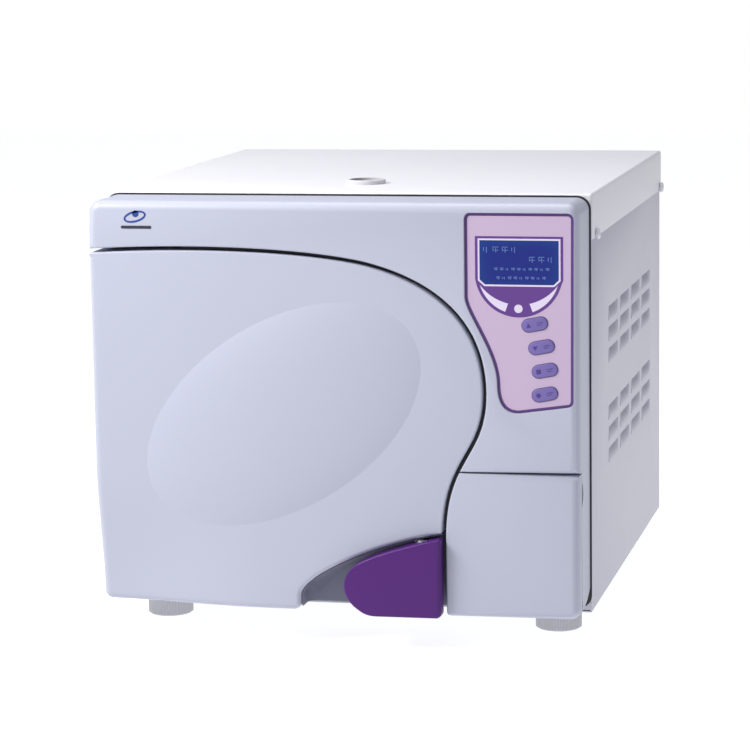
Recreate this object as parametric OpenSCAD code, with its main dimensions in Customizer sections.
// Benchtop steam autoclave, about 18 litre chamber, in millimetres.
// +X is the user's right, +Y runs to the back, +Z is up.
// The origin is on the bench, in the middle of the overall width and depth.

/* [Casing] */
// Width of the casing over the top cover's skirts
casing_w = 445; // [440:1:450]
// Height of the casing above its underside
casing_h = 375; // [373:1:377]
// Depth of the casing, front plate to rear panel
casing_d = 478; // [470:1:490]
// Height of the casing's underside over the bench
foot_h = 25; // [23:1:27]
// Sheet thickness of the painted side and rear panels
sheet_t = 1.2; // [1:0.1:1.4]
// Height of the cover's skirt down the sides
skirt_h = 40; // [36:1:44]

/* [Fascia and door] */
// How far the moulded fascia stands in front of the casing
fascia_depth = 61; // [58:1:64]
// Width of the moulded fascia
fascia_w = 440; // [438:1:441]
// Wall thickness of the mouldings
wall_t = 3; // [2.5:0.1:3.2]
// Width of the dark gap round the door
door_gap = 3.6; // [3:0.1:4]
// Height of the dome on the door
dome_h = 9; // [6:0.5:10]
// Long radius of the dome on the door
dome_long = 139; // [130:1:142]
// Short radius of the dome on the door
dome_short = 82; // [76:1:86]
// Tilt of the dome's long axis, right end up
dome_tilt = 32; // [28:1:36]

/* [Handle] */
// How far the handle's face stands in front of the casing
handle_reach = 72; // [71:0.5:73]
// Wall thickness of the handle
handle_wall = 4; // [3.5:0.1:4.5]
// Radius of the pin that the handle turns on
lever_pin_r = 4; // [3.8:0.1:4.2]

/* [Chamber] */
// Inside diameter of the chamber
chamber_d = 245; // [240:1:248]
// Inside length of the chamber
chamber_len = 355; // [340:1:360]
// Thickness of the chamber's steel wall
chamber_wall = 2.5; // [2:0.1:3]
// Thickness of the insulation round the chamber
insulation_t = 14; // [10:1:15]
// Chamber axis, sideways
chamber_x = -55; // [-57:1:-53]
// Chamber axis, height over the bench
chamber_z = 190; // [188:1:192]

/* [Controls] */
// Width of a push button
key_w = 23; // [22:0.5:24]
// Height of a push button
key_h = 11.5; // [10.5:0.5:12]
// Tilt of the push buttons, right end up
key_tilt = 11; // [8:1:13]
// Travel of a push button
key_travel = 0.6; // [0.4:0.1:0.7]

/* [Feet and rear] */
// Diameter of a foot
foot_d = 42; // [38:1:44]
// How far the rear fittings stand behind the casing
rear_reach = 20; // [20:1:24]
// Side of the square fan
fan_w = 120; // [119:1:121]

/* [Hidden] */
$fn = 64;
fine = 96;
fit = 0.05;
eps = 0.5;

half_w = casing_w / 2;
casing_front = handle_reach - (handle_reach + casing_d + rear_reach) / 2;
casing_back = casing_front + casing_d;
base_z = foot_h;
top_z = foot_h + casing_h;
skirt_z = top_z - skirt_h;
cover_t = 1.3;
panel_x = half_w - cover_t - 0.2;
flange = 12;

face_y = casing_front - fascia_depth;
fascia_back = casing_front - 2;
fascia_z = base_z + 7;
fascia_top = top_z - 3;
skin_t = 4;
handle_y = casing_front - handle_reach;

// Door hinge, on the user's left
hinge_x = -204;
hinge_y = casing_front - 27;
hinge_pin_r = 6;
hinge_ear_r = 10;
ear_t = 13;
barrel_h = 48;
door_back = casing_front - 7;
well_back = casing_front - 34;

// Handle pivot and lock shaft
lever_x = 80;
lever_y = casing_front - 58;
lever_hub_r = 8;
shaft_x = 85;
shaft_y = casing_front - 23;
shaft_r = 6;
hook_z = [226, 262];

// Pressure lid and chamber
lid_r = 134;
lid_t = 13;
lid_back = casing_front;
bore_r = chamber_d / 2;
flange_r = 140;
flange_t = 14;
flange_y = casing_front + 3;
jacket_r = bore_r + chamber_wall + 1 + insulation_t;
chamber_back = flange_y + chamber_len;
hole_r = 143;

// Service pocket behind the lower right cover
seam_z = 161;
seam = 1.4;
service_back = casing_front - 49;
ring_front = service_back + 1.5;
service_axis_y = face_y + 6.5;
service_axis_z = fascia_z + 8;
service_pin_r = 2;
service_tab_x = [115, 207];
service_tab_w = 6;

// Display and buttons
overlay_t = 0.4;
recess = 2;
keys = [[181.2, 292.4], [187, 272.7], [189.8, 252.3], [189.7, 231.5]];
lcd = [167.7, 346];
lcd_size = [69, 38];
board_y = face_y + 12;

// Filler opening in the top cover
filler_y = casing_front + 88;
filler_r = 15;
filler_wall = 3;

// Right-hand bay
bay_x = 150;
fan_z = 190;
condenser_y = 205;
inlet_pos = [150, 80];
rocker_z = 128;
valve_pos = [-150, 300];
barb_pos = [-150, 80];
front_foot_y = casing_front + 45;
rear_foot_y = casing_back - 55;
foot_x = 184;

// ---- shared shapes ----

// Points on a cubic curve from a to d
function curve(a, b, c, d, n = 20) =
    [for (i = [0:n])
        let (t = i / n, s = 1 - t)
        s * s * s * a + 3 * s * s * t * b + 3 * s * t * t * c + t * t * t * d];

// A flat (x, z) outline given thickness from y0 back to y1
module slab(y0, y1) {
    translate([0, y1, 0]) rotate([90, 0, 0]) linear_extrude(y1 - y0) children();
}

module box(lo, hi) {
    translate(lo) cube(hi - lo);
}

module rod_y(x, y0, y1, z, r) {
    translate([x, y0, z]) rotate([-90, 0, 0]) cylinder(h = y1 - y0, r = r);
}

module rod_z(x, y, z0, z1, r) {
    translate([x, y, z0]) cylinder(h = z1 - z0, r = r);
}

module rod_x(x0, x1, y, z, r) {
    translate([x0, y, z]) rotate([0, 90, 0]) cylinder(h = x1 - x0, r = r);
}

module soft_rect(x0, z0, x1, z1, r) {
    translate([x0 + r, z0 + r]) offset(r = r, $fn = 32) square([x1 - x0 - 2 * r, z1 - z0 - 2 * r]);
}

module pill(w, h) {
    square([w - h, h], center = true);
    for (s = [-1, 1]) translate([s * (w - h) / 2, 0]) circle(d = h);
}

module ring(r0, r1, y0, y1) {
    difference() {
        rod_y(chamber_x, y0, y1, chamber_z, r1, $fn = fine);
        rod_y(chamber_x, y0 - eps, y1 + eps, chamber_z, r0, $fn = fine);
    }
}

module both_sides() {
    children();
    mirror([1, 0, 0]) children();
}

// ---- outlines of the front, in x and z ----

// Everything on the door's side of the dark gap
gap_line = concat(
    curve([-260, 349], [-150, 359.5], [-28.1, 355.8], [30, 343.5]),
    curve([30, 343.5], [100, 326.9], [136.6, 288.4], [136.6, 230.8]),
    curve([136.6, 230.8], [136.6, 174.5], [99.5, 175], [99.5, 100]));

module door_side() {
    polygon(concat(gap_line, [[99.5, -20], [-260, -20]]));
}

module fascia_rect() {
    soft_rect(-fascia_w / 2, fascia_z, fascia_w / 2, fascia_top, 11);
}

module fascia_outline() {
    difference() {
        fascia_rect();
        offset(delta = door_gap / 2) door_side();
    }
}

module service_outline() {
    intersection() {
        fascia_outline();
        soft_rect(90, fascia_z, fascia_w / 2 + 20, seam_z - seam / 2, 1);
    }
}

module upper_outline() {
    intersection() {
        fascia_outline();
        translate([-half_w, seam_z + seam / 2]) square([casing_w, casing_h]);
    }
}

module door_outline() {
    intersection() {
        offset(delta = -door_gap / 2) door_side();
        soft_rect(-fascia_w / 2, fascia_z, half_w, top_z, 8);
    }
}

// Recess in the door's lower right corner, where the handle lies
well_line = curve([-31.5, 46], [-30, 64], [40, 96], [102, 106]);

module well_outline() {
    polygon(concat([[-31.5, 0]], well_line, [[150, 106], [150, 0]]));
}

handle_line = concat(
    [[98.3, 34], [98.3, 101.5]],
    curve([97, 102.5], [70, 96.5], [35, 86], [22, 77.5]),
    curve([22, 77.5], [8, 68], [6, 48], [24, 36.5]),
    curve([24, 36.5], [28, 33.5], [32, 31.5], [40, 31.5]),
    [[95, 31.5]]);

module handle_outline() {
    polygon(handle_line);
}

overlay_line = concat(
    curve([120, 383], [120, 386], [122, 388.7], [125, 388.7], 4),
    curve([210, 388.7], [213.5, 388.7], [215.5, 386], [215.5, 383], 4),
    curve([214.8, 226], [214.8, 223], [213, 220.6], [210, 220.3], 4),
    curve([168, 214.5], [155, 213.5], [148, 222], [148, 240]),
    curve([148, 240], [148, 268], [120, 302], [120, 316]));

module overlay_outline() {
    polygon(overlay_line);
}

module lcd_outline() {
    intersection() {
        translate(lcd) square(lcd_size, center = true);
        translate(lcd + [0, 9.5]) rotate(45) square(77, center = true);
    }
}

module at_key(i) {
    translate(keys[i]) rotate(key_tilt) children();
}

// ---- casing ----

screw_y = [casing_front + 22, casing_back - 11];
screw_z = skirt_z + 3;
screw_r = 2;

module screw_bores() {
    both_sides() for (y = screw_y) rod_x(half_w - 20, half_w + 1, y, screw_z, screw_r);
}

module panel_screws() color("white") both_sides() for (y = screw_y) {
    rod_x(half_w - 9, half_w, y, screw_z, screw_r);
    rod_x(half_w, half_w + 2.5, y, screw_z, 5);
    rod_x(half_w + 2.5, half_w + 4, y, screw_z, 3.6);
}

module base_tray() color("silver") difference() {
    union() {
        box([-panel_x + 1.5, casing_front + 1.5, base_z], [panel_x - 1.5, casing_back - 2, base_z + 1.5]);
        both_sides() box([panel_x - 3, casing_front + 14, base_z], [panel_x - 1.5, casing_back - 15, base_z + 15]);
    }
    for (x = [-foot_x, foot_x], y = [front_foot_y, rear_foot_y])
        rod_z(x, y, base_z - eps, base_z + 2, 4.4);
    for (i = [0:5]) box([60, -60 + 30 * i, base_z - eps], [160, -52 + 30 * i, base_z + 2]);
}

module front_plate() color("gainsboro") difference() {
    box([-207, casing_front, base_z + 2], [207, casing_front + 1.5, top_z - 16]);
    rod_y(chamber_x, casing_front - eps, casing_front + 2, chamber_z, hole_r, $fn = fine);
    for (x = drain_x) rod_y(x, casing_front - eps, casing_front + 2, drain_z, 8);
    rod_y(filter_pos[0], casing_front - eps, casing_front + 2, filter_pos[1], 8);
}

// Louvres: a slot with a scoop pressed inwards below it
louvre_w = 58;
louvre_h = 13;
louvre_y = [for (i = [0:3]) casing_front + 138 + 76.5 * i];
louvre_z = [148, 168, 188, 241, 261, 280];

module side_panel() {
    difference() {
        union() {
            box([panel_x - sheet_t, casing_front, base_z + 0.5], [panel_x, casing_back - 1.5, skirt_z + 12]);
            for (y = [casing_front, casing_back - 1.5 - sheet_t])
                box([panel_x - flange, y, base_z + 2], [panel_x, y + sheet_t, skirt_z + 12]);
        }
        for (y = louvre_y, z = louvre_z)
            box([panel_x - 2, y - louvre_w / 2, z - louvre_h / 2],
                [panel_x + 1, y + louvre_w / 2, z + louvre_h / 2]);
        for (y = screw_y) rod_x(panel_x - 2, panel_x + 2, y, screw_z, screw_r);
    }
    for (y = louvre_y, z = louvre_z)
        translate([panel_x - sheet_t, y - louvre_w / 2 - 1, z - louvre_h / 2 - 1])
            rotate([0, -30, 0]) cube([1, louvre_w + 2, louvre_h]);
}

module right_panel() color("lavender") side_panel();

module left_panel() color("lavender") mirror([1, 0, 0]) side_panel();

module rear_panel() color("lavender") {
    difference() {
        box([-panel_x, casing_back - 1.5, base_z + 0.5], [panel_x, casing_back, skirt_z + 12]);
        rod_y(chamber_x, casing_back - 3, casing_back + 1, fan_z, 55);
        box([inlet_pos[0] - 14, casing_back - 3, inlet_pos[1] - 24],
            [inlet_pos[0] + 14, casing_back + 1, rocker_z + 16]);
        rod_y(valve_pos[0], casing_back - 3, casing_back + 1, valve_pos[1], 8);
        rod_y(barb_pos[0], casing_back - 3, casing_back + 1, barb_pos[1], 6);
        for (i = [0:7]) box([60, casing_back - 3, 210 + 12 * i], [190, casing_back + 1, 215 + 12 * i]);
    }
    for (r = [14:10:54]) ring(r - 1, r + 1, casing_back - 1.5, casing_back);
    for (a = [0, 90]) translate([chamber_x, casing_back - 0.75, fan_z]) rotate([0, a, 0])
        cube([111, 1.5, 3], center = true);
}

module top_cover() color("white") difference() {
    union() {
        box([-half_w, casing_front, skirt_z], [half_w, casing_back + 1.5, top_z]);
        box([-207, casing_front + 115, top_z - 1], [207, casing_back - 14, top_z + 0.8]);
        box([-135, casing_front + 120, top_z - 1], [130, casing_back - 8, top_z + 2]);
    }
    box([-half_w + cover_t, casing_front + 1.5, skirt_z - 1], [half_w - cover_t, casing_back, top_z - 2]);
    box([-half_w + cover_t, casing_front - 1, skirt_z - 1], [half_w - cover_t, casing_front + 2, top_z - 15]);
    rod_z(0, filler_y, top_z - 4, top_z + 4, filler_r + filler_wall - 1);
    screw_bores();
}

module filler_collar() color("whitesmoke") translate([0, filler_y, 0]) difference() {
    union() {
        rod_z(0, 0, top_z - 4, top_z + 4, filler_r + filler_wall - 1);
        rod_z(0, 0, top_z, top_z + 4, filler_r + filler_wall);
    }
    rod_z(0, 0, top_z - 2.5, top_z + 5, filler_r);
    rod_z(0, 0, top_z - 5, top_z, filler_r - 3);
}

module filler_plug() color("dimgray") translate([0, filler_y, 0]) {
    difference() {
        rod_z(0, 0, top_z - 2.2, top_z + 1.5, filler_r - 0.4);
        rod_z(0, 0, top_z - 0.5, top_z + 2, filler_r - 2.5);
    }
    box([-filler_r + 2, -1.5, top_z - 1], [filler_r - 2, 1.5, top_z + 2]);
}

// ---- fascia ----

// Lug of the fascia that holds one end of the service cover's pin
module tab(x) {
    rod_x(x - service_tab_w / 2, x + service_tab_w / 2, service_axis_y, service_axis_z, 3.2);
    box([x - service_tab_w / 2, service_axis_y, service_axis_z - 2.9],
        [x + service_tab_w / 2, service_back + 12, service_axis_z + 3.2]);
    box([x - service_tab_w / 2, service_back + 6.5, fascia_z + 1],
        [x + service_tab_w / 2, service_back + 12, service_axis_z]);
}

module front_bezel() color("lightsteelblue") {
    difference() {
        union() {
            slab(face_y, face_y + skin_t) upper_outline();
            slab(face_y, fascia_back) difference() {
                upper_outline();
                offset(delta = -wall_t) upper_outline();
            }
        }
        slab(face_y - 1, face_y + recess + overlay_t) offset(delta = 0.2) overlay_outline();
        slab(face_y - 1, face_y + 8) offset(delta = 0.4) lcd_outline();
        for (i = [0:3]) slab(face_y - 1, face_y + 8) at_key(i) pill(key_w + 0.8, key_h + 0.8);
    }
    difference() {
        slab(ring_front, fascia_back) difference() {
            intersection() {
                fascia_outline();
                soft_rect(90, fascia_z, fascia_w / 2 + 20, seam_z + seam / 2, 1);
            }
            offset(delta = -wall_t) service_outline();
        }
        // crescent finger notch behind the service cover's edge
        rod_x(fascia_w / 2 - 4, fascia_w / 2 + 1, ring_front - 5, 142, 12);
        // room behind the hinge for the cover's lower edge as it turns
        box([90, ring_front - 1, 20], [fascia_w / 2 + 1, service_back + 5.5, service_axis_z + 14]);
    }
    difference() {
        union() for (x = service_tab_x) tab(x);
        rod_x(90, 230, service_axis_y, service_axis_z, service_pin_r);
    }
}

module control_overlay() color("thistle") difference() {
    slab(face_y + recess, face_y + recess + overlay_t) overlay_outline();
    slab(face_y - 1, face_y + 8) lcd_outline();
    for (i = [0:3]) slab(face_y - 1, face_y + 8) at_key(i) pill(key_w + 0.8, key_h + 0.8);
}

module lcd_window() color("royalblue") slab(face_y + recess, face_y + recess + 1.8) lcd_outline();

module lcd_module() color("darkslategray") {
    box([lcd[0] - 40, face_y + 5, lcd[1] - 25], [lcd[0] + 40, board_y, lcd[1] + 25]);
}

module control_board() color("seagreen") {
    box([144, board_y, 224], [212, board_y + 1.6, 384]);
    for (k = keys) {
        box([k[0] - 6, board_y - 4, k[1] - 6], [k[0] + 6, board_y, k[1] + 6]);
        rod_y(k[0], board_y - 5.3, board_y - 4, k[1], 3.2);
    }
}

module key(i) color("slateblue") {
    slab(face_y + recess - 1.2, face_y + 5.9) at_key(i) pill(key_w, key_h);
    slab(face_y + skin_t + 0.1, face_y + 5.9) at_key(i) pill(key_w + 3, key_h + 3);
}

module key_up() key(0);
module key_down() key(1);
module key_set() key(2);
module key_start() key(3);

drain_x = [135, 185];
drain_z = 66;
filter_pos = [160, 122];

module service_panel() color("lightgray") difference() {
    slab(fascia_back - 3, fascia_back) offset(delta = -wall_t) service_outline();
    for (x = drain_x) rod_y(x, fascia_back - 4, fascia_back + 1, drain_z, 8);
    rod_y(filter_pos[0], fascia_back - 4, fascia_back + 1, filter_pos[1], 8);
}

module drain_couplings() color("goldenrod") for (x = drain_x) difference() {
    union() {
        rod_y(x, fascia_back - 22, fascia_back + 12, drain_z, 8);
        translate([x, fascia_back - 3, drain_z]) rotate([90, 0, 0]) cylinder(h = 7, r = 12, $fn = 6);
        rod_y(x, fascia_back - 28, fascia_back - 20, drain_z, 9.5);
    }
    rod_y(x, fascia_back - 30, fascia_back - 8, drain_z, 4.5);
}

module air_filter() color("aliceblue") {
    rod_y(filter_pos[0], fascia_back - 3, fascia_back + 12, filter_pos[1], 8);
    rod_y(filter_pos[0], fascia_back - 10, fascia_back - 3, filter_pos[1], 12);
    rod_y(filter_pos[0], fascia_back - 34, fascia_back - 10, filter_pos[1], 24);
    rod_y(filter_pos[0], fascia_back - 38, fascia_back - 34, filter_pos[1], 7);
}

module service_cover() color("lightsteelblue") difference() {
    union() {
        slab(face_y, face_y + wall_t) service_outline();
        slab(face_y, service_back) difference() {
            service_outline();
            offset(delta = -wall_t) service_outline();
        }
        box([122, face_y + 2, service_axis_z - 5.5], [200, service_back - 1.5, service_axis_z + 4]);
    }
    rod_x(90, 230, service_axis_y, service_axis_z, service_pin_r + fit);
    for (x = service_tab_x) box([x - 4, face_y + wall_t, 20], [x + 4, service_back + 1, service_axis_z + 6]);
}

module service_pin() color("silver") rod_x(112, 210, service_axis_y, service_axis_z, service_pin_r);

// ---- door ----

module door_cover() color("lightsteelblue") difference() {
    union() {
        slab(face_y, face_y + wall_t) difference() {
            door_outline();
            well_outline();
        }
        difference() {
            slab(face_y, door_back) difference() {
                door_outline();
                offset(delta = -wall_t) door_outline();
            }
            slab(face_y - 1, well_back) well_outline();
        }
        slab(face_y, well_back + wall_t) intersection() {
            door_outline();
            difference() {
                offset(delta = wall_t) well_outline();
                well_outline();
            }
        }
        slab(well_back, well_back + wall_t) intersection() {
            door_outline();
            well_outline();
        }
        intersection() {
            translate([-45, face_y + 21, 208]) rotate([0, -dome_tilt, 0])
                scale([dome_long * 1.4, 21 + dome_h, dome_short * 1.4]) sphere(r = 1, $fn = 60);
            box([-200, face_y - 20, 90], [110, face_y + 1, 330]);
        }
        // posts that carry the cover on the door arm
        for (x = [-150, 20]) rod_y(x, face_y + 1, hinge_y - 6, chamber_z, 9);
    }
    // opening for the hinge
    box([-fascia_w / 2 - 1, hinge_y - 16, 140], [-fascia_w / 2 + 6, door_back + 1, 240]);
    // opening for the lock shaft's follower
    box([74, well_back - 1, 62], [101, well_back + 4, 80]);
}

module door_arm() color("gray") difference() {
    union() {
        box([hinge_x, hinge_y - 6, 170], [shaft_x - 4, hinge_y + 8, 210]);
        rod_z(hinge_x, hinge_y, chamber_z - barrel_h / 2, chamber_z + barrel_h / 2, hinge_ear_r);
        rod_z(shaft_x, shaft_y, 170, 210, 9);
        rod_y(chamber_x, hinge_y + 7, lid_back - lid_t, chamber_z, 32);
    }
    rod_z(hinge_x, hinge_y, 100, 300, hinge_pin_r + fit);
    rod_z(shaft_x, shaft_y, 100, 300, shaft_r + fit);
}

module pressure_lid() color("silver") difference() {
    rod_y(chamber_x, lid_back - lid_t, lid_back, chamber_z, lid_r, $fn = fine);
    rod_y(chamber_x, lid_back - lid_t + 5, lid_back + 1, chamber_z, 119, $fn = fine);
    ring(125, 131, lid_back - 4, lid_back + 1);
}

module door_gasket() color("orangered") ring(125, 131, lid_back - 4, flange_y - 0.4);

module lever_bracket() color("silver") difference() {
    union() {
        box([68, well_back - 2.5, 34], [92, well_back, 60]);
        box([68, well_back - 2.5, 82], [92, well_back, 95.4]);
        for (z = [35.5, 95.4]) {
            box([74, lever_y, z], [86, well_back, z + 2.5]);
            rod_z(lever_x, lever_y, z, z + 2.5, 6);
        }
    }
    rod_z(lever_x, lever_y, 30, 110, lever_pin_r);
}

module lever_pin() color("gainsboro") {
    rod_z(lever_x, lever_y, 35.5, 97.9, lever_pin_r);
    rod_z(lever_x, lever_y, 97.9, 99.7, 5);
}

module lever_handle() color("indigo") difference() {
    union() {
        slab(handle_y, handle_y + handle_wall) handle_outline();
        slab(handle_y, handle_y + 17) difference() {
            handle_outline();
            offset(delta = -handle_wall) handle_outline();
        }
        rod_z(lever_x, lever_y, 38.4, 95, lever_hub_r);
        box([lever_x - 5, handle_y + 2, 38.4], [lever_x + 5, lever_y, 95]);
        // cam behind the hub
        rod_z(lever_x + 7, lever_y + 3, 66, 76, 6);
    }
    rod_z(lever_x, lever_y, 30, 110, lever_pin_r + fit);
    // room for the bracket's ears as the handle turns
    for (z = [35.1, 95]) intersection() {
        rod_z(lever_x, lever_y, z, z + 3.3, 26);
        box([40, handle_y + handle_wall + 0.5, 30], [120, 0, 110]);
    }
    intersection() {
        rod_z(lever_x, lever_y, 95, 110, 9);
        box([40, handle_y + handle_wall, 30], [120, 0, 110]);
    }
    box([90, handle_y + 13, 20], [110, 0, 110]);
    // round edge next to the service cover
    difference() {
        box([98.3 - 5.5, handle_y - 1, 20], [110, handle_y + 5.5, 120]);
        rod_z(98.3 - 5.5, handle_y + 5.5, 19, 121, 5.5);
    }
}

module lock_shaft() color("gray") {
    rod_z(shaft_x, shaft_y, 62, 275, shaft_r);
    for (z = hook_z) {
        rod_z(shaft_x, shaft_y, z - 7, z + 7, 9);
        box([shaft_x - 3, shaft_y, z - 6], [shaft_x + 3, shaft_y + 18, z + 6]);
        box([shaft_x - 3, shaft_y + 14, z - 6], [shaft_x + 12.5, shaft_y + 18, z + 6]);
    }
    // follower arm that reaches through the recess to the handle's cam
    box([shaft_x - 3, shaft_y - 14, 67], [shaft_x + 4, shaft_y, 75]);
    rod_z(shaft_x + 0.5, shaft_y - 14, 66, 76, 3.5);
}

module lock_keepers() color("silver") for (z = hook_z) {
    box([97, casing_front - 1.5, z - 12], [112, casing_front, z + 12]);
    box([106, casing_front - 16, z - 8], [110, casing_front - 1.5, z + 8]);
    box([99.8, casing_front - 16, z - 8], [106, casing_front - 12, z + 8]);
}

module hinge_bracket() color("gray") difference() {
    union() {
        box([-203, casing_front - 2, 145], [-190, casing_front, 235]);
        for (z = [chamber_z - barrel_h / 2 - 0.5 - ear_t, chamber_z + barrel_h / 2 + 0.5])
            translate([0, 0, z]) linear_extrude(ear_t) {
                translate([hinge_x, hinge_y]) circle(r = hinge_ear_r);
                polygon([[hinge_x - 9.2, hinge_y - 2], [-203, casing_front], [-191, casing_front],
                    [hinge_x + 9.6, hinge_y + 1]]);
            }
    }
    rod_z(hinge_x, hinge_y, 100, 300, hinge_pin_r);
}

module hinge_pin() color("silver") {
    rod_z(hinge_x, hinge_y, 149, 231, hinge_pin_r);
    rod_z(hinge_x, hinge_y, 231, 234, hinge_pin_r + 2);
}

// ---- chamber ----

module chamber_vessel() color("silver") {
    ring(bore_r, flange_r, flange_y, flange_y + flange_t);
    ring(bore_r, bore_r + chamber_wall, flange_y, chamber_back);
    rod_y(chamber_x, chamber_back, chamber_back + 5, chamber_z, bore_r + chamber_wall, $fn = fine);
}

module heater_band() color("brown")
    ring(bore_r + chamber_wall, bore_r + chamber_wall + 1, flange_y + 60, chamber_back - 60);

module insulation_jacket() color("khaki") difference() {
    rod_y(chamber_x, flange_y + flange_t, chamber_back + 5 + insulation_t, chamber_z, jacket_r, $fn = fine);
    rod_y(chamber_x, flange_y + flange_t - 1, chamber_back + 5, chamber_z,
        bore_r + chamber_wall + 1, $fn = fine);
}

tray_w = 176;
tray_z = [128, 172, 216];
rack_y0 = flange_y + 22;
rack_y1 = chamber_back - 25;

module tray_rack() color("silver") {
    for (x = [-1, 1]) {
        for (z = tray_z)
            box([chamber_x + x * (tray_w / 2 + 5) - 5, rack_y0, z - 2],
                [chamber_x + x * (tray_w / 2 + 5) + 5, rack_y1, z]);
        for (y = [rack_y0, rack_y1 - 12])
            box([chamber_x + x * (tray_w / 2 + 9) - 1, y, tray_z[0] - 10],
                [chamber_x + x * (tray_w / 2 + 9) + 1, y + 12, tray_z[2] + 22]);
    }
    for (y = [rack_y0, rack_y1 - 12]) for (z = [tray_z[0] - 10, tray_z[2] + 20])
        box([chamber_x - tray_w / 2 - 10, y, z], [chamber_x + tray_w / 2 + 10, y + 12, z + 2]);
}

module tray(z) {
    difference() {
        box([chamber_x - tray_w / 2 - 4, rack_y0 + 1, z], [chamber_x + tray_w / 2 + 4, rack_y1, z + 12]);
        box([chamber_x - tray_w / 2 - 3, rack_y0 + 2, z + 1],
            [chamber_x + tray_w / 2 + 3, rack_y1 - 1, z + 13]);
        for (i = [-1:1], j = [0:5])
            rod_z(chamber_x + 50 * i, rack_y0 + 30 + 50 * j, z - 1, z + 2, 9);
    }
}

module trays() color("silver") for (z = tray_z) tray(z);

// ---- water, steam and power ----

tank_z = 338;
tank_y0 = casing_front + 63;
tank_y1 = casing_back - 20;

module tank(x0, x1, port_x, port_y, port_r) {
    difference() {
        box([x0, tank_y0, tank_z], [x1, tank_y1, top_z - 4]);
        box([x0 + 2.5, tank_y0 + 2.5, tank_z + 2.5], [x1 - 2.5, tank_y1 - 2.5, top_z - 6.5]);
        rod_z(port_x, port_y, top_z - 8, top_z, port_r);
    }
}

module clean_water_tank() color("azure") tank(-66, 86, 0, filler_y, 11.5);

module waste_water_tank() color("ivory") tank(-205, -70, -140, tank_y1 - 40, 8);

module steam_generator() color("silver") {
    rod_z(bay_x, -50, base_z + 25, base_z + 135, 42);
    rod_z(bay_x, -50, base_z + 135, base_z + 145, 12);
    for (a = [0:120:240]) translate([bay_x, -50, 0]) rotate([0, 0, a])
        box([28, -6, base_z + 1.5], [36, 6, base_z + 25]);
}

module vacuum_pump() color("dimgray") {
    box([115, 10, base_z + 1.5], [185, 90, base_z + 8]);
    rod_y(bay_x, 10, 90, base_z + 42, 34);
    box([120, 90, base_z + 12], [180, 125, base_z + 72]);
}

module water_pump() color("darkgray") {
    box([100, 170, base_z + 1.5], [150, 220, base_z + 6.5]);
    rod_y(125, 165, 225, base_z + 28, 22);
    rod_y(125, 152, 165, base_z + 28, 8);
}

module valve_block() color("goldenrod") {
    box([110, -90, 185], [200, -60, 215]);
    for (i = [0:2]) {
        rod_z(125 + 30 * i, -75, 215, 225, 8);
        box([112 + 30 * i, -88, 225], [138 + 30 * i, -62, 258]);
    }
    for (x = [116, 194]) box([x - 3, -90, 170], [x + 3, -87, 185]);
    box([110, -93, 170], [200, -90, 215]);
}

module condenser() color("peru") {
    for (x = [-80, 78]) box([chamber_x + x, condenser_y, 105], [chamber_x + x + 2, condenser_y + 26, 275]);
    for (i = [0:16]) box([chamber_x - 79, condenser_y, 108 + 10 * i], [chamber_x + 79, condenser_y + 26, 109 + 10 * i]);
    for (i = [0:3]) rod_x(chamber_x - 88, chamber_x + 88, condenser_y + 13, 125 + 43 * i, 4.5);
}

module fan_frame() color("black") {
    difference() {
        translate([chamber_x, casing_back - 1.5 - 12.5, fan_z]) cube([fan_w, 25, fan_w], center = true);
        rod_y(chamber_x, casing_back - 30, casing_back, fan_z, 57);
    }
    rod_y(chamber_x, casing_back - 26.5, casing_back - 22.5, fan_z, 18);
    for (a = [45, 135]) translate([chamber_x, casing_back - 24.5, fan_z]) rotate([0, a, 0])
        cube([122, 4, 6], center = true);
}

module fan_rotor() color("dimgray") translate([chamber_x, casing_back - 12, fan_z]) {
    rotate([90, 0, 0]) cylinder(h = 16, r = 19, center = true);
    for (i = [0:6]) rotate([0, i * 360 / 7, 0])
        translate([36, 0, 0]) rotate([38, 0, 0]) cube([38, 1.8, 20], center = true);
}

module power_supply() color("silver") box([105, 140, 300], [205, 250, 350]);

module main_board() color("seagreen") {
    box([100, -40, 285], [212, 120, 286.6]);
    for (i = [0:3]) box([110 + 24 * i, 60, 286.6], [128 + 24 * i, 84, 302]);
    for (i = [0:2]) rod_z(125 + 30 * i, 0, 286.6, 312, 9);
    for (x = [104, 208], y = [-34, 114]) rod_z(x, y, 275, 285, 3);
}

module pipe(points, r) {
    for (i = [0:len(points) - 2]) {
        a = points[i];
        d = points[i + 1] - a;
        turn = [0, acos(d[2] / norm(d)), atan2(d[1], d[0])];
        translate(a) rotate(turn) cylinder(h = norm(d), r = r);
        if (i > 0) translate(a) sphere(r = r + 1);
    }
}

module pipework() color("peru") {
    pipe([[bay_x, -50, 170.3], [bay_x, -50, 178], [98, -50, 178], [98, -100, 178]], 3);
    pipe([[200.3, -75, 200], [206, -75, 200], [206, 108, 200], [206, 108, 60], [180.3, 108, 60]], 4);
    pipe([[125, 151.7, 53], [125, 146, 53], [95, 146, 53], [95, 146, 334], [60, 146, 334]], 3);
    pipe([[barb_pos[0], casing_back - 12.3, barb_pos[1]], [barb_pos[0], 190, barb_pos[1]],
        [-212, 190, barb_pos[1]], [-212, 190, 330], [-200, 190, 330]], 4);
}

module safety_valve() color("goldenrod") translate([valve_pos[0], casing_back, valve_pos[1]]) difference() {
    union() {
        translate([0, -14, 0]) rotate([-90, 0, 0]) cylinder(h = 14, r = 8);
        rotate([-90, 0, 0]) cylinder(h = 5, r = 12, $fn = 6);
        rotate([-90, 0, 0]) cylinder(h = 10, r = 8);
    }
    rotate([-90, 0, 0]) translate([0, 0, 2]) cylinder(h = 9, r = 4.3);
}

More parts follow.
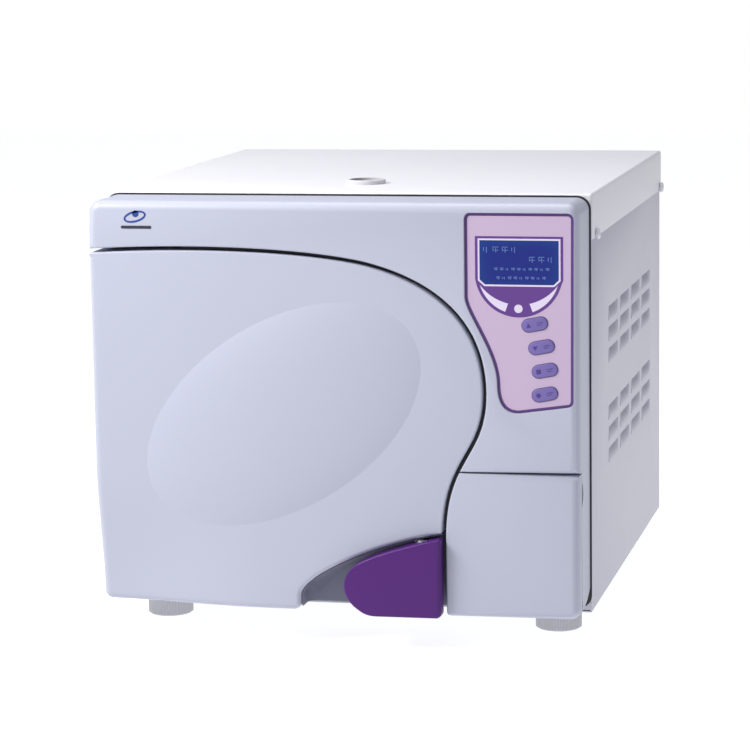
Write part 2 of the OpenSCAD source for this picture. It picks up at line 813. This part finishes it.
module valve_cap() color("gold") translate([valve_pos[0], casing_back, valve_pos[1]]) {
    rotate([-90, 0, 0]) translate([0, 0, 3]) cylinder(h = 9, r = 3.9);
    rotate([-90, 0, 0]) translate([0, 0, 10.4]) cylinder(h = 3.6, r = 8);
    translate([0, 14, 0]) difference() {
        box([-5, 0, -1], [5, 6, 1]);
        rod_z(0, 2.5, -2, 2, 2);
    }
}

module power_inlet() color("black") translate([inlet_pos[0], casing_back, 0]) difference() {
    union() {
        box([-18, 0, inlet_pos[1] - 28], [18, 3, rocker_z + 20]);
        box([-14, -24, inlet_pos[1] - 24], [14, 0, rocker_z + 16]);
    }
    difference() {
        box([-12, -18, inlet_pos[1] - 10], [12, 4, inlet_pos[1] + 8]);
        for (x = [-7, 0, 7]) box([x - 1, -19, inlet_pos[1] - 4], [x + 1, -2, inlet_pos[1] + 2]);
    }
    box([-10.4, -14, rocker_z - 13.4], [10.4, 4, rocker_z + 13.4]);
    box([-11, 1.5, inlet_pos[1] + 13], [11, 4, inlet_pos[1] + 25]);
}

rocker_tilt = 9;

module power_rocker() color("firebrick") translate([inlet_pos[0], casing_back - 2, rocker_z])
    rotate([rocker_tilt, 0, 0]) {
        box([-9.5, -4, -11.5], [9.5, 4, 11.5]);
        rod_x(-10, 10, 0, 0, 4);
    }

module overflow_barb() color("gray") difference() {
    union() {
        rod_y(barb_pos[0], casing_back - 12, casing_back, barb_pos[1], 6);
        rod_y(barb_pos[0], casing_back, casing_back + 4, barb_pos[1], 9);
        rod_y(barb_pos[0], casing_back + 4, casing_back + rear_reach, barb_pos[1], 4);
    }
    rod_y(barb_pos[0], casing_back - 13, casing_back + rear_reach + 1, barb_pos[1], 2.5);
}

// ---- feet ----

module foot(x, y, top) {
    rod_z(x, y, 0, 17, foot_d / 2);
    rod_z(x, y, 17, 20, foot_d / 2 - 2.5);
    rod_z(x, y, 20, top, 4);
}

module front_foot_left() color("whitesmoke") foot(-foot_x, front_foot_y, base_z + 20);

module front_foot_right() color("whitesmoke") foot(foot_x, front_foot_y, base_z + 20);

module rear_feet() color("whitesmoke") for (x = [-foot_x, foot_x]) {
    rod_z(x, rear_foot_y, 0, 17, foot_d / 2);
    rod_z(x, rear_foot_y, 17, base_z, 12);
    rod_z(x, rear_foot_y, base_z, base_z + 12, 4.4);
}

base_tray();
front_plate();
left_panel();
right_panel();
rear_panel();
top_cover();
panel_screws();
filler_collar();
filler_plug();
front_bezel();
control_overlay();
lcd_window();
lcd_module();
control_board();
key_up();
key_down();
key_set();
key_start();
service_panel();
drain_couplings();
air_filter();
service_cover();
service_pin();
door_cover();
door_arm();
pressure_lid();
door_gasket();
lever_bracket();
lever_pin();
lever_handle();
lock_shaft();
lock_keepers();
hinge_bracket();
hinge_pin();
chamber_vessel();
heater_band();
insulation_jacket();
tray_rack();
trays();
clean_water_tank();
waste_water_tank();
steam_generator();
vacuum_pump();
water_pump();
valve_block();
condenser();
fan_frame();
fan_rotor();
power_supply();
main_board();
pipework();
safety_valve();
valve_cap();
power_inlet();
power_rocker();
overflow_barb();
front_foot_left();
front_foot_right();
rear_feet();
